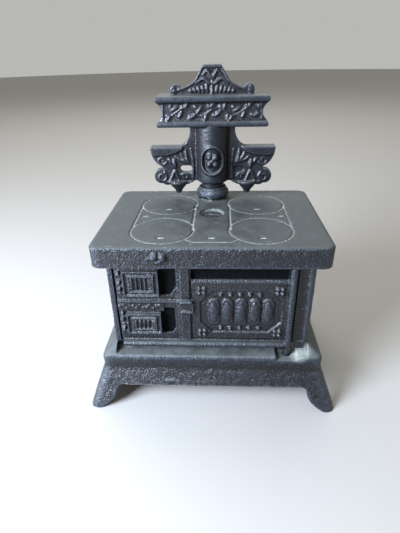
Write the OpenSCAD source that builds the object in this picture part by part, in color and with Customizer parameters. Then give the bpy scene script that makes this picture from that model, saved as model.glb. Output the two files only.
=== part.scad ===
// Cast iron still bank in the form of a small kitchen range.
// Four cast plates stand on the base under the cooktop, and one long screw clamps them all together.
// The front plate is the coin door: it swings on a rod cast into its right edge.
// X runs left to right, Y front to back, Z up. The origin is on the floor, under the middle.

/* [Body] */
// Width over the two side walls
body_w = 89.4; // [74:0.2:120]
// Depth from the front edges of the side walls to the back wall
body_d = 62.4; // [52:0.2:90]
// Height of the walls, from their seat on the base to the underside of the cooktop
body_h = 48.4; // [40:0.2:75]
// Thickness of the side and back walls
wall_t = 2.6; // [2:0.1:4]
// Width of the rounded stile on the right wall beside the door
stile_w = 7.4; // [5.4:0.1:8]
// Clearance of a wall in its slot, each side
slot_gap = 0.15; // [0.05:0.05:0.4]

/* [Base] */
// Height of the wall seat above the floor
base_h = 30; // [26:0.5:45]
// How far the base band stands out past the body
base_over = 6.3; // [4.5:0.1:9]
// Height of the crease where the legs start to flare
crease_z = 19.8; // [16:0.1:22]
// Height of the skirt's lower edge between the legs
arch_z = 11.5; // [6:0.1:14]
// How far the feet stand out past the band
foot_flare = 7.2; // [2:0.1:9]
// Width of a leg where it meets the skirt
leg_w = 16; // [10:0.5:20]
// Width of a foot on the floor
foot_w = 5.8; // [4.5:0.1:10]
// Thickness of the base casting
base_t = 3; // [2.4:0.1:4]
// Radius of the base's upright corners
base_corner_r = 4; // [3.4:0.1:6]

/* [Cooktop] */
// How far the cooktop stands out past the body
top_over = 5.3; // [4.2:0.1:9]
// Thickness of the cooktop plate
top_t = 3; // [2.4:0.1:5]
// Height of the cooktop's edge, from its top down
skirt_h = 9.6; // [7:0.1:14]
// Thickness of the cooktop's edge
skirt_t = 2.2; // [1.8:0.1:2.6]
// Radius of the cooktop's upright corners
top_corner_r = 4.6; // [3:0.1:8]
// Radius of a burner ring
burner_r = 13.8; // [9:0.1:15]
// Distance of the burners from the middle line
burner_x = 21.4; // [19:0.1:24]
// Distance between the front and the back burners
burner_pitch = 32.6; // [31:0.1:36]
// Width of the burner grooves
groove_w = 0.9; // [0.5:0.1:1.5]
// Depth of the burner grooves
groove_t = 0.6; // [0.3:0.1:1]

/* [Front door] */
// Thickness of the door plate
door_t = 2.6; // [2:0.1:3.4]
// Diameter of the hinge rod
rod_d = 3.4; // [2.6:0.1:4.2]
// Distance of the rod's axis from the right outer face of the body
rod_inset = 9.8; // [9:0.1:14]
// Radial clearance of the rod in its two holes
rod_gap = 0.08; // [0.02:0.01:0.1]
// Gap round the closed door
door_gap = 0.5; // [0.3:0.1:1.2]
// Radius of the rolled lip along the foot of the door
lip_r = 1.5; // [1.2:0.1:2.2]
// Width of the two small doors
fire_door_w = 15.8; // [12:0.1:18]
// Height of the upper small door, the fire door
fire_door_h = 12.8; // [9:0.1:13.4]
// Height of the lower small door, the ash door
ash_door_h = 11.2; // [8:0.1:11.8]
// Height of the rail between the small doors
band_h = 5.9; // [4:0.1:6.4]
// Width of the upright bar between the small doors and the oven
bar_w = 4.4; // [3:0.1:6]
// Height of the raised work on the door
relief_t = 1.2; // [0.6:0.1:1.6]
// Beads in each row over and under the oven panel
bead_count = 5; // [3:1:7]
// Upright lobes across the middle of the oven panel
lobe_count = 5; // [3:1:7]
// Diameter of a bead
bead_d = 1.9; // [1.2:0.1:2.4]

/* [Coin slot] */
// Length of the coin slot in the back wall
slot_w = 32; // [26:0.5:40]
// Height of the coin slot
slot_t = 3.2; // [2.6:0.1:4]
// Distance of the slot below the top of the back wall
slot_drop = 15; // [12:0.5:24]

/* [Stovepipe] */
// Diameter of the pipe
pipe_d = 16.5; // [13:0.1:20]
// Height of the pipe's foot above the cooktop
pipe_lift = 9.3; // [8:0.1:14]
// Height of the pipe between its foot and the warming shelf
pipe_h = 27.1; // [26:0.1:36]
// Diameter of the neck that stands in the collar
neck_d = 11.6; // [9:0.1:13]
// Height of the collar on the cooktop
collar_h = 6.5; // [4:0.1:7.5]
// Distance of the pipe's axis from the back edge of the cooktop
pipe_inset = 12; // [10:0.5:18]
// Reach of a tea bracket from the pipe's axis
bracket_reach = 30.8; // [27:0.1:38]
// Thickness of the brackets
bracket_t = 4.6; // [3:0.1:7]
// Width of the warming shelf
shelf_w = 52.8; // [44:0.2:70]
// Height of the warming shelf over its mouldings
shelf_h = 13.9; // [11:0.1:20]
// Height of the crest above the warming shelf
crest_h = 12.5; // [9:0.1:18]
// Width of the crest over its end scrolls
crest_w = 39; // [32:0.5:44]
// Width of the oval medallion on the pipe
medallion_w = 11.8; // [9:0.1:13]
// Height of the oval medallion
medallion_h = 14.4; // [13:0.1:17]

/* [Fasteners] */
// Diameter of the tie screw
tie_d = 5; // [4:0.1:6]
// Diameter of the tie screw's countersunk head
tie_head_d = 9; // [8:0.1:10]
// Diameter of the hollow that the head sits in
tie_hollow_d = 11.4; // [10.5:0.1:13]
// Distance of the tie screw behind the middle of the body
tie_y = 2; // [-4:0.5:6]
// Width of the square nut across its flats
nut_w = 9.4; // [8:0.1:12]
// Thickness of the square nut
nut_t = 4; // [3:0.1:5]
// Diameter of the screw that holds the pipe down
pipe_screw_d = 4; // [3:0.1:5]
// Radial clearance of the screws in their holes
screw_gap = 0.2; // [0.1:0.05:0.4]

/* [Hidden] */
$fn = 48;
eps = 0.01;
hull_fn = 32;

// Heights
seat_z = base_h;
floor_z = base_h - 3.5;
plate_under_z = floor_z - base_t;
under_top_z = seat_z + body_h;
top_z = under_top_z + top_t;
skirt_z = top_z - skirt_h;

// Half sizes, from the middle outwards
body_x = body_w / 2;
body_y = body_d / 2;
band_x = body_x + base_over;
band_y = body_y + base_over;
foot_x = band_x + foot_flare;
foot_y = band_y + foot_flare;
top_x = body_x + top_over;
top_y = body_y + top_over;

// Base casting
roll_r = 2.2;
roll_angles = [0, 18, 36, 53];
recess_x = body_x - 0.7;
sill_front_y = -body_y + 1.1;
sill_t = 3;
rim_w = 6;
tab_w = 9;
tab_h = 3;
tab_inset = 14;

// Stile of the right wall
stile_set = 0.8;
stile_t = 2.4;
stile_lift = 0.6;
stile_drop = 6.6;
post_w = 3.6;

// Hinge rod
rod_r = rod_d / 2;
rod_x = body_x - rod_inset;
rod_y = -body_y - 1;
rod_foot_z = plate_under_z + 0.3;
rod_top_z = under_top_z - 2.6;
rod_boss_d = rod_d + 4;
pocket_t = 1.5;

// Front door
door_left = -body_x + wall_t + door_gap;
door_right = rod_x + rod_r;
door_foot_z = seat_z + 0.3;
door_top_z = skirt_z - door_gap;
lip_z = seat_z + 0.1;
lip_y = -body_y - lip_r + 0.2;
sunk_t = 1.3;
rosette_r = 1.5;
rosette_bead_d = 1.9;

// Stovepipe
pipe_r = pipe_d / 2;
pipe_y = top_y - pipe_inset;
pipe_foot_z = top_z + pipe_lift;
shelf_z = pipe_foot_z + pipe_h;
shelf_top_z = shelf_z + shelf_h;
shelf_lower_t = 2.6;
shelf_upper_t = 3.3;
shelf_end_r = 4.6;
shelf_end_cut = 3;
shelf_step = 1.5;
crest_top_z = shelf_top_z + crest_h;
rim_over = 1.6;
drop_x = 17.6;
drop_r = 5.2;
drop_tip_r = 1.9;
scroll_r = 2.6;
ring_rise = 0.7;
ring_w = 1.1;
crest_t = 4;
crest_front_y = pipe_y - 4;
tenon_d = 7.6;
collar_wall = 1.2;

// Fasteners
tie_hollow_t = 0.9;
tie_head_t = 2.2;
tie_boss_d = 16;
tie_boss_t = 2.4;
tie_foot_z = plate_under_z - nut_t - 1.6;
pipe_screw_head_d = 8;
pipe_screw_head_t = 2.4;
pipe_screw_reach = 9;

// Points on a curve from a to c that is pulled towards b
function bend(a, b, c, n = 8) =
    [for (i = [0:n]) let (t = i / n) (1 - t) * (1 - t) * a + 2 * t * (1 - t) * b + t * t * c];

module rounded_rect(hx, hy, r) {
    square([2 * (hx - r), 2 * hy], center = true);
    square([2 * hx, 2 * (hy - r)], center = true);
    for (sx = [-1, 1], sy = [-1, 1])
        translate([sx * (hx - r), sy * (hy - r)]) circle(r);
}

// One thin level of a lofted shape
module level(z, hx, hy, r) {
    translate([0, 0, z]) linear_extrude(eps) rounded_rect(hx, hy, r, $fn = hull_fn);
}

// A box given by its low and high corners
module block(low, high) {
    translate(low) cube(high - low);
}

// A flat outline in X and Z, made solid from front_y back by t
module upright(front_y, t) {
    translate([0, front_y + t, 0]) rotate([90, 0, 0]) linear_extrude(t) children();
}

module bar2d(a, b, w) {
    d = b - a;
    translate(a) rotate(atan2(d[1], d[0])) translate([0, -w / 2]) square([norm(d), w]);
}

// ---- Base ----

module base_outside() {
    hull() {
        for (a = roll_angles)
            level(crease_z + base_h - 25.1 + roll_r * sin(a), band_x - roll_r * (1 - cos(a)),
                  band_y - roll_r * (1 - cos(a)), base_corner_r - 1);
        level(crease_z, band_x, band_y, base_corner_r);
        level(seat_z - eps, body_x, body_y, 1);
    }
    hull() {
        level(0, foot_x, foot_y, base_corner_r);
        level(crease_z, band_x, band_y, base_corner_r);
    }
}

module base_hollow() {
    hull() {
        level(-1, foot_x - base_t + 0.2, foot_y - base_t + 0.2, base_corner_r - 2);
        level(plate_under_z, band_x - base_t - 1, band_y - base_t - 1, base_corner_r - 2);
    }
}

// Opening between two legs, seen from outside, for a skirt of half length half_l at the floor
module arch(half_l) {
    foot = half_l - foot_w;
    knee = half_l - 0.85 * leg_w;
    top = half_l - leg_w - 1.5;
    side = concat(bend([foot, 0], [knee + 0.6, 0.3 * arch_z], [knee, 0.68 * arch_z]),
                  bend([knee, 0.68 * arch_z], [knee - 0.4, arch_z], [top, arch_z]));
    polygon(concat([[foot, -2]], side, [for (i = [len(side) - 1:-1:0]) [-side[i][0], side[i][1]]],
                   [[-foot, -2]]));
}

module wall_slots() {
    for (sx = [-1, 1], sy = [-1, 1])
        block([sx * (body_x - wall_t / 2) - wall_t / 2 - slot_gap,
               sy * (body_y - tab_inset) - tab_w / 2 - slot_gap, seat_z - tab_h - slot_gap],
              [sx * (body_x - wall_t / 2) + wall_t / 2 + slot_gap,
               sy * (body_y - tab_inset) + tab_w / 2 + slot_gap, seat_z + 1]);
    for (sx = [-1, 1])
        block([sx * (body_x - tab_inset - 6) - tab_w / 2 - slot_gap, body_y - wall_t - slot_gap,
               seat_z - tab_h - slot_gap],
              [sx * (body_x - tab_inset - 6) + tab_w / 2 + slot_gap, body_y + slot_gap, seat_z + 1]);
}

module base() {
    color("dimgray") difference() {
        union() {
            difference() {
                base_outside();
                base_hollow();
                upright(-foot_y - 1, 2 * foot_y + 2) arch(foot_x);
                translate([-foot_x - 1, 0, 0]) rotate([90, 0, 90])
                    linear_extrude(2 * foot_x + 2) arch(foot_y);
                // coin tray inside the walls
                block([-body_x + rim_w, sill_front_y + sill_t, floor_z],
                      [body_x - rim_w, body_y - rim_w, seat_z + 1]);
                // open step in front of the sill
                block([-recess_x, -band_y - 1, floor_z], [recess_x, sill_front_y, seat_z + 1]);
                // deeper pocket round the foot of the hinge rod
                block([rod_x - 5, -band_y - 1, floor_z - pocket_t],
                      [rod_x + 4.4, sill_front_y, floor_z + 1]);
            }
            // boss under the hinge rod, and two lugs that keep the nut from turning
            translate([rod_x, rod_y, plate_under_z - 2])
                cylinder(d = rod_boss_d + 1, h = floor_z - pocket_t - plate_under_z + 2);
            for (sx = [-1, 1])
                block([sx * (nut_w / 2 + 1.7) - 1.5, tie_y - nut_w / 2, plate_under_z - nut_t + 0.6],
                      [sx * (nut_w / 2 + 1.7) + 1.5, tie_y + nut_w / 2, plate_under_z + 1]);
        }
        wall_slots();
        translate([rod_x, rod_y, plate_under_z - 3]) cylinder(r = rod_r + rod_gap, h = 12);
        translate([0, tie_y, plate_under_z - 1]) cylinder(d = tie_d + 2 * screw_gap, h = 12);
    }
}

// ---- Walls ----

module side_wall(side) {
    x0 = side < 0 ? -body_x : body_x - wall_t;
    block([x0, -body_y, seat_z], [x0 + wall_t, body_y, under_top_z]);
    for (sy = [-1, 1])
        block([x0, sy * (body_y - tab_inset) - tab_w / 2, seat_z - tab_h],
              [x0 + wall_t, sy * (body_y - tab_inset) + tab_w / 2, seat_z + 1]);
    // rib that the back wall stands against
    rib_x = side < 0 ? x0 + wall_t - eps : x0 - 2;
    block([rib_x, body_y - wall_t - slot_gap - 2, seat_z],
          [rib_x + 2 + eps, body_y - wall_t - slot_gap, under_top_z - 6]);
}

module left_side_wall() {
    color("dimgray") side_wall(-1);
}

module right_side_wall() {
    edge_r = 1.8;
    color("dimgray") difference() {
        union() {
            side_wall(1);
            // stile beside the hinge rod: a flat strip set back behind a rounded corner post
            block([body_x - stile_w, -body_y + stile_set, seat_z + stile_lift],
                  [body_x - 1, -body_y + stile_set + stile_t, under_top_z - stile_drop]);
            translate([body_x - post_w / 2, -body_y + post_w / 2, seat_z + stile_lift])
                linear_extrude(body_h - stile_lift - stile_drop)
                    rounded_rect(post_w / 2, post_w / 2, post_w / 2 - 0.2);
            // toe that reaches the step in the base
            block([body_x - stile_w + 1.2, -body_y + 0.2, floor_z + 0.1],
                  [body_x - 2.2, sill_front_y - 0.1, seat_z + 1]);
        }
        // the front outer corner is rounded off
        translate([body_x - edge_r, -body_y + edge_r, seat_z - 5]) difference() {
            translate([0, -edge_r - 1, 0]) cube([edge_r + 1, edge_r + 1, body_h + 6]);
            translate([0, 0, -1]) cylinder(r = edge_r, h = body_h + 8);
        }
    }
}

module back_wall() {
    inner_x = body_x - wall_t - slot_gap;
    slot_z = under_top_z - slot_drop;
    color("dimgray") difference() {
        union() {
            block([-inner_x, body_y - wall_t, seat_z], [inner_x, body_y, under_top_z]);
            for (sx = [-1, 1])
                block([sx * (body_x - tab_inset - 6) - tab_w / 2, body_y - wall_t, seat_z - tab_h],
                      [sx * (body_x - tab_inset - 6) + tab_w / 2, body_y, seat_z + 1]);
            // thickened rim round the coin slot
            upright(body_y - wall_t - 0.8, wall_t + 1.6) translate([0, slot_z])
                rounded_rect(slot_w / 2 + 2.4, slot_t / 2 + 2.4, 2.4);
        }
        upright(body_y - wall_t - 2, wall_t + 4) translate([0, slot_z])
            rounded_rect(slot_w / 2, slot_t / 2, slot_t / 2 - 0.1);
    }
}

// ---- Front door ----

// A raised plate on the door, from (x0, z0) to (x1, z1), standing t proud
module raised(x0, z0, x1, z1, t = relief_t) {
    block([x0, -body_y - t, z0], [x1, -body_y + 0.5, z1]);
}

// A raised picture-frame border of width w
module border(x0, z0, x1, z1, w, t = relief_t) {
    upright(-body_y - t, t + 0.5) difference() {
        translate([x0, z0]) square([x1 - x0, z1 - z0]);
        translate([x0 + w, z0 + w]) square([x1 - x0 - 2 * w, z1 - z0 - 2 * w]);
    }
}

// A small door with two frames, one inside the other, round a grille
module small_door(x0, z0, h) {
    x1 = x0 + fire_door_w;
    z1 = z0 + h;
    frame_w = 1;
    inner_in = 2.1;
    grille_in = 4.1;
    proud = relief_t + 0.8;
    bars = 5;
    bar_t = 0.8;
    pitch = (fire_door_w - 2 * grille_in) / (bars - 1);
    raised(x0, z0, x1, z1, relief_t);
    border(x0, z0, x1, z1, frame_w, proud);
    border(x0 + inner_in, z0 + inner_in, x1 - inner_in, z1 - inner_in, frame_w, proud);
    for (i = [0:bars - 1])
        raised(x0 + grille_in + i * pitch - bar_t / 2, z0 + grille_in - 0.4,
               x0 + grille_in + i * pitch + bar_t / 2, z1 - grille_in + 0.4, proud);
}

// An eight-sided outline with its corners cut back by c
module cut_rect(x0, z0, x1, z1, c) {
    polygon([[x0 + c, z0], [x1 - c, z0], [x1, z0 + c], [x1, z1 - c],
             [x1 - c, z1], [x0 + c, z1], [x0, z1 - c], [x0, z0 + c]]);
}

module bead(x, z, d = bead_d, proud = 0.45) {
    translate([x, -body_y - proud, z]) sphere(d = d, $fn = 24);
}

// The oven door: a raised plate round a sunk eight-sided panel with lobes and beads
module oven_door(x0, z0, x1, z1) {
    low_x = x0 + 3.6;
    high_x = x1 - 1.8;
    low_z = z0 + 3.2;
    high_z = z1 - 4.6;
    mid_x = (low_x + high_x) / 2;
    plate_t = relief_t * 0.6;
    corner_cut = 5.4;
    difference() {
        raised(x0, z0, x1, z1, plate_t);
        upright(-body_y - relief_t - 1, relief_t + 1.2) cut_rect(low_x, low_z, high_x, high_z, corner_cut);
    }
    lobe_pitch = (high_x - low_x - 6) / lobe_count;
    lobe_r = lobe_pitch / 2 - 0.5;
    lobe_h = high_z - low_z - 8.6;
    for (i = [0:lobe_count - 1])
        upright(-body_y - relief_t * 0.7, relief_t + 0.3)
            translate([mid_x + (i - (lobe_count - 1) / 2) * lobe_pitch, (low_z + high_z) / 2])
                rounded_rect(lobe_r, lobe_h / 2, lobe_r - 0.1);
    bead_pitch = (high_x - low_x - 19) / (bead_count - 1);
    for (i = [0:bead_count - 1], z = [low_z + 2.1, high_z - 2.1])
        bead(mid_x - 0.4 + (i - (bead_count - 1) / 2) * bead_pitch, z);
    for (x = [low_x + 0.9, high_x - 1.4], z = [low_z - 0.3, high_z + 0.1], a = [45, 135, 225, 315])
        bead(x + rosette_r * cos(a), z + rosette_r * sin(a), rosette_bead_d, plate_t + 0.25);
}

// Sunk field beside a small door, its lower right corner cut off slanting
module sunk_field(x0, z0, x1, z1, cut) {
    upright(-body_y - 3, 3 + sunk_t)
        polygon([[x0, z0], [x1 - cut, z0], [x1, z0 + 1.6 * cut], [x1, z1], [x0, z1]]);
}

module front_door() {
    fire_x = door_left + 3.6;
    fire_top_z = door_top_z - 2.8;
    ash_z = door_foot_z + 5.3;
    bar_x = fire_x + fire_door_w + 8.6;
    oven_x0 = bar_x + bar_w + 0.8;
    oven_x1 = door_right - rod_d - 0.2;
    oven_z1 = door_top_z - 8.2;
    field_x = fire_x + fire_door_w;
    band_z = ash_z + ash_door_h + 0.8 + band_h / 2;
    color("dimgray") {
        difference() {
            block([door_left, -body_y, door_foot_z], [door_right, -body_y + door_t, door_top_z]);
            sunk_field(field_x, fire_top_z - fire_door_h + 0.4, bar_x - 1.6, door_top_z - 0.8, 2.6);
            sunk_field(field_x, ash_z, bar_x - 2.6, ash_z + ash_door_h + 2.4, 1.6);
            block([oven_x0, -body_y - 1, oven_z1 + 0.8],
                  [oven_x1, -body_y + sunk_t, door_top_z - 0.8]);
        }
        small_door(fire_x, fire_top_z - fire_door_h, fire_door_h);
        small_door(fire_x, ash_z, ash_door_h);
        // rail between the small doors, with a fillet along its top
        raised(door_left, band_z - band_h / 2, field_x + 1.4, band_z + band_h / 2, relief_t * 0.5);
        raised(door_left, band_z + band_h / 2 - 1.3, bar_x, band_z + band_h / 2, relief_t * 0.9);
        // knobs up the hinge side of the small doors
        for (z = [ash_z + 1.9, ash_z + ash_door_h / 2, ash_z + ash_door_h - 1.9,
                  fire_top_z - 1.9, fire_top_z - fire_door_h / 2, fire_top_z - fire_door_h + 1.9])
            bead(door_left + 1.9, z, 2.4);
        // upright bar with its catch
        raised(bar_x, door_foot_z + 2, bar_x + bar_w, door_top_z - 0.4);
        raised(bar_x - 1.2, door_foot_z + 2, bar_x, door_top_z - 0.4, relief_t * 0.4);
        upright(-body_y - relief_t - 0.9, relief_t + 1) translate([bar_x + bar_w / 2 + 0.6, band_z])
            rounded_rect(3.4, 3.6, 1.4);
        oven_door(oven_x0, door_foot_z + 3, oven_x1, oven_z1);
        // rolled lip, cut back at its left end
        difference() {
            union() {
                translate([door_left + 1, lip_y, lip_z]) rotate([0, 90, 0])
                    cylinder(r = lip_r, h = rod_x - door_left - 1);
                block([door_left + 1, lip_y, door_foot_z], [rod_x, -body_y + 0.5, lip_z + lip_r]);
            }
            translate([door_left + 1, 0, lip_z + lip_r]) rotate([0, 40, 0])
                translate([-10, lip_y - 4, -12]) cube([10, 2 * lip_r + 4, 14]);
        }
        // hinge rod, cast with the door
        translate([rod_x, rod_y, rod_foot_z]) cylinder(r = rod_r, h = rod_top_z - rod_foot_z);
    }
}

// ---- Cooktop ----

module burner_lines() {
    front_y = tie_y - 4.1 - burner_pitch / 2;
    back_y = front_y + burner_pitch;
    inner_x = burner_x - burner_r + 0.8;
    outer_x = burner_x + burner_r - 0.2;
    for (sx = [-1, 1]) {
        for (y = [front_y, back_y])
            translate([sx * burner_x, y]) difference() {
                circle(burner_r + groove_w / 2);
                circle(burner_r - groove_w / 2);
            }
        bar2d([sx * outer_x, front_y + 1], [sx * outer_x, back_y - 1], groove_w);
        bar2d([sx * inner_x, front_y], [sx * inner_x, back_y], groove_w * 1.2);
        bar2d([sx * (inner_x - 0.8), front_y - 12.3], [sx * (inner_x + 2.6), front_y - 9.8], groove_w);
    }
    bar2d([-inner_x + 0.6, front_y - 12.3], [inner_x - 0.6, front_y - 12.3], groove_w);
}

// Small pockets that take the tip of a lid lifter
module lifter_notches() {
    front_y = tie_y - 4.1 - burner_pitch / 2;
    for (p = [[-burner_x, front_y - 8.2], [burner_x, front_y - 8.2], [0, front_y - 8.2],
              [-burner_x, front_y + 25.4], [burner_x, front_y + 25.4],
              [-burner_x - 10.2, front_y + 16.4], [burner_x + 10.2, front_y + 16.4]])
        translate([p[0] - 1.6, p[1] - 0.7, top_z - groove_t]) cube([3.2, 1.4, 2]);
}

module collar() {
    r_in = neck_d / 2 + screw_gap;
    r_top = r_in + collar_wall;
    translate([0, pipe_y, top_z]) rotate_extrude()
        polygon(concat([[r_in, -1], [r_top + 2.2, -1]],
                       bend([r_top + 2.2, 0], [r_top + 0.6, 0.2], [r_top + 0.4, 1.2]),
                       bend([r_top + 0.4, 1.2], [r_top + 2.4, collar_h * 0.5], [r_top + 0.2, collar_h - 1]),
                       [[r_top - 0.2, collar_h], [r_in, collar_h]]));
}

module cooktop() {
    rib_t = 2;
    rib_h = 3.5;
    stop_y = -body_y + door_t + 0.4;
    color("gray") difference() {
        union() {
            difference() {
                translate([0, 0, skirt_z]) linear_extrude(skirt_h)
                    rounded_rect(top_x, top_y, top_corner_r);
                translate([0, 0, skirt_z - 1]) linear_extrude(skirt_h - top_t + 1)
                    rounded_rect(top_x - skirt_t, top_y - skirt_t, top_corner_r - skirt_t + 0.6);
            }
            // ribs inside the walls, and pads between the walls and the edge
            for (sx = [-1, 1]) {
                rib_x = sx * (body_x - wall_t - slot_gap - rib_t / 2);
                block([rib_x - rib_t / 2, -body_y + 16, under_top_z - rib_h],
                      [rib_x + rib_t / 2, body_y - 8, under_top_z + 1]);
                pad_x = sx * (body_x + slot_gap + (top_over - slot_gap) / 2);
                for (sy = [-1, 1])
                    block([pad_x - (top_over - slot_gap) / 2 + 1, sy * (body_y - tab_inset) - 4, skirt_z + 2],
                          [pad_x + (top_over - slot_gap) / 2 - 1, sy * (body_y - tab_inset) + 4,
                           under_top_z + 1]);
            }
            for (sx = [-1, 1])
                block([sx * 27 - 7, body_y - wall_t - slot_gap - rib_t, under_top_z - rib_h],
                      [sx * 27 + 7, body_y - wall_t - slot_gap, under_top_z + 1]);
            // stop rail behind the head of the door
            block([door_left + 3, stop_y, door_top_z - 2.4], [rod_x - 7, stop_y + rib_t, under_top_z + 1]);
            translate([rod_x, rod_y, skirt_z + 0.4]) cylinder(d = rod_boss_d, h = under_top_z - skirt_z);
            translate([0, tie_y, under_top_z - tie_boss_t]) cylinder(d = tie_boss_d, h = tie_boss_t + 1);
            collar();
        }
        translate([rod_x, rod_y, skirt_z - 1]) cylinder(r = rod_r + rod_gap, h = rod_top_z + 0.4 - skirt_z + 1);
        translate([0, pipe_y, under_top_z - 1]) cylinder(d = tenon_d + 2 * screw_gap, h = top_t + 2);
        // hollow and countersink for the tie screw
        translate([0, tie_y, top_z - tie_hollow_t]) cylinder(d = tie_hollow_d, h = 3);
        translate([0, tie_y, top_z - tie_hollow_t - tie_head_t])
            cylinder(d1 = tie_d + 2 * screw_gap, d2 = tie_head_d + 2 * screw_gap, h = tie_head_t + eps);
        translate([0, tie_y, under_top_z - tie_boss_t - 1]) cylinder(d = tie_d + 2 * screw_gap, h = 8);
        translate([0, 0, top_z - groove_t]) linear_extrude(groove_t + 1) burner_lines();
        lifter_notches();
    }
}

// ---- Stovepipe, tea brackets, warming shelf and crest ----

// Right half of the bracket pair, in X and Z from the pipe's foot
module bracket_half() {
    rim = pipe_h - 9.8;
    reach = bracket_reach;
    wing = 11;
    polygon(concat([[0, pipe_h + 0.5], [wing, pipe_h + 0.5], [wing, rim + 7.4]],
                   bend([wing, rim + 7.4], [wing + 1.2, rim], [wing + 7, rim]),
                   [[reach - 0.6, rim], [reach, rim - 1], [reach - 0.4, rim - 3.8]],
                   bend([reach - 0.4, rim - 3.8], [reach - 1.6, rim - 8], [reach - 5.2, rim - 9.6]),
                   [[reach - 6, rim - 10.6], [reach - 6, 0], [drop_x + drop_r, -1.6],
                    [drop_x - drop_r, -1.6], [9, 0.4], [0, 0.4]]));
    translate([reach - 4.8, 2.6]) circle(3.7);
    translate([reach - 7.6, 0.8]) circle(2.8);
}

// Front outline of the right tea shelf's rim
module shelf_rim() {
    rim = pipe_h - 9.8;
    polygon(concat([[bracket_reach, rim], [bracket_reach - 0.3, rim - 2.9]],
                   bend([bracket_reach - 1.2, rim - 3.8], [bracket_reach * 0.68, rim - 5.2], [14.6, rim - 1]),
                   [[14.6, rim]]));
}

module brackets() {
    front_y = pipe_y - bracket_t / 2;
    translate([0, 0, pipe_foot_z]) {
        difference() {
            upright(front_y, bracket_t) union() {
                bracket_half();
                mirror([1, 0]) bracket_half();
            }
            // the left bracket is pierced beside the pipe, the right one only dished
            upright(front_y - 1, bracket_t + 2) translate([-13.2, 6.2])
                rounded_rect(3.1, 1.8, 1.7);
            upright(front_y - 1, 2.4) translate([13.2, 6.2]) rounded_rect(2.6, 1.6, 1.5);
        }
        // rims of the two tea shelves, deeper at their tips and wider than the web below
        upright(front_y - rim_over, bracket_t + 2 * rim_over) union() {
            shelf_rim();
            mirror([1, 0]) shelf_rim();
        }
        // turned drops under the brackets
        for (sx = [-1, 1])
            translate([sx * drop_x, pipe_y, -1.2]) {
                cylinder(r = drop_r, h = 1.4);
                translate([0, 0, -1.9]) cylinder(r1 = 0.68 * drop_r, r2 = drop_r - 0.3, h = 2);
                translate([0, 0, -3.8]) cylinder(r1 = drop_tip_r, r2 = 0.68 * drop_r, h = 2);
                translate([0, 0, -3.8]) sphere(r = drop_tip_r, $fn = 24);
            }
    }
}

// A slab from z = 0 to t with half-round edges, made where two rounded bars cross
module moulding(half_w, half_d, t) {
    intersection() {
        rotate([90, 0, 0]) linear_extrude(2 * half_d + 2, center = true)
            translate([0, t / 2]) rounded_rect(half_w, t / 2, t / 2 - 0.1);
        rotate([90, 0, 90]) linear_extrude(2 * half_w + 2, center = true)
            translate([0, t / 2]) rounded_rect(half_d, t / 2, t / 2 - 0.1);
    }
}

module warming_shelf() {
    half_d = pipe_r;
    translate([0, pipe_y, shelf_z]) {
        moulding(shelf_w / 2 - 0.2, half_d, shelf_lower_t);
        translate([0, 0, shelf_h - shelf_upper_t]) moulding(shelf_w / 2, half_d, shelf_upper_t);
        difference() {
            block([-shelf_w / 2 + 0.7, -half_d + shelf_step, shelf_lower_t - 0.5],
                  [shelf_w / 2 - 0.7, half_d - shelf_step, shelf_h - shelf_upper_t + 0.5]);
            for (sx = [-1, 1])
                translate([sx * (shelf_w / 2 - shelf_end_cut + shelf_end_r), half_d + 1,
                           (shelf_h + shelf_lower_t - shelf_upper_t) / 2])
                    rotate([90, 0, 0]) cylinder(r = shelf_end_r, h = 2 * half_d + 2);
        }
    }
}

module crest_half() {
    half_w = crest_w / 2;
    polygon(concat([[0, -0.5], [half_w - 1, -0.5], [half_w - 2.4, 3.1]],
                   bend([half_w - 4.4, 2.4], [half_w - 12.4, crest_h * 0.3], [5.4, crest_h * 0.78], 10),
                   [[4.5, crest_h - 0.7], [3.9, crest_h], [0, crest_h]]));
    translate([half_w - scroll_r, 2]) circle(scroll_r);
}

// An upright oval with straight sides
module oval(w, h) {
    for (sz = [-1, 1])
        translate([0, sz * (h - w) / 2]) circle(w / 2);
    square([w, h - w], center = true);
}

// An oval ring wrapped round the pipe, its field sunk for a rosette
module medallion() {
    translate([0, pipe_y, pipe_foot_z + 11.5]) intersection() {
        translate([0, 0, -medallion_h]) cylinder(r = pipe_r + ring_rise, h = 2 * medallion_h);
        upright(-2 * pipe_r, 2 * pipe_r) difference() {
            oval(medallion_w, medallion_h);
            oval(medallion_w - 2 * ring_w, medallion_h - 2 * ring_w);
        }
    }
}

module medallion_field() {
    translate([0, pipe_y, pipe_foot_z + 11.5]) difference() {
        upright(-2 * pipe_r, 2 * pipe_r) oval(medallion_w - 2 * ring_w, medallion_h - 2 * ring_w);
        translate([0, 0, -medallion_h]) cylinder(r = pipe_r - 1.2, h = 2 * medallion_h);
    }
}

module rosette() {
    translate([0, pipe_y - pipe_r + 0.7, pipe_foot_z + 11.5]) {
        for (a = [45:90:315])
            translate([2 * cos(a), 0.3, 2.3 * sin(a)]) sphere(d = 3, $fn = 24);
        sphere(d = 2.2, $fn = 24);
    }
}

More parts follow.
